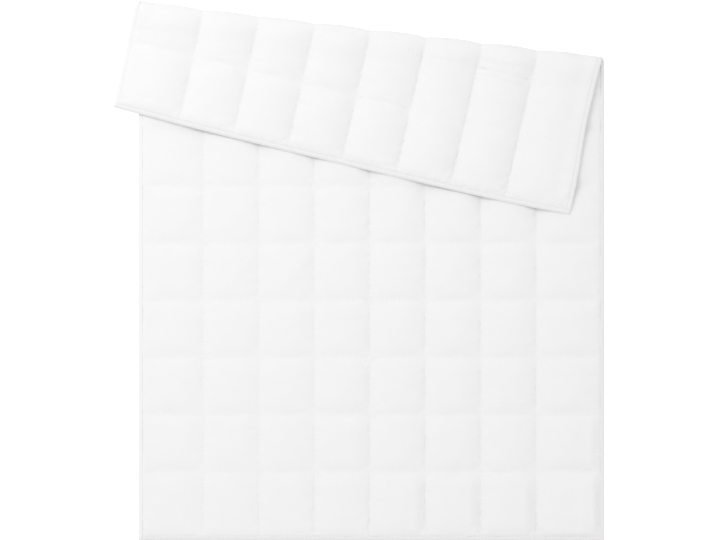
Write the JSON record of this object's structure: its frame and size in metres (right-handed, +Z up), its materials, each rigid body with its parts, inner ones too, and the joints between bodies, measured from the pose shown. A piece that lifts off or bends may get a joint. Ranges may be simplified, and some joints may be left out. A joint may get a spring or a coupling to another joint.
{
  "type": "summer duvet",
  "caption": "Thin summer duvet quilted in squares, with a narrow bound edge, lying flat with its head end folded over at a slight slant.",
  "frame": {"origin": "under the middle of the folded duvet, on the surface that it lies on", "axes": "+Z up through the layers, +Y towards the folded head end, +X to the right as seen from above"},
  "size_m": [1.628, 1.7872, 0.0587],
  "materials": {
    "shell_cloth": "soft white cotton, fine plain weave, matt",
    "binding_cloth": "white cotton tape, fine weave, matt"
  },
  "bodies": {
    "root": {"quilted_body": "shell_cloth", "edge_binding": "binding_cloth"}
  },
  "joints": []
}
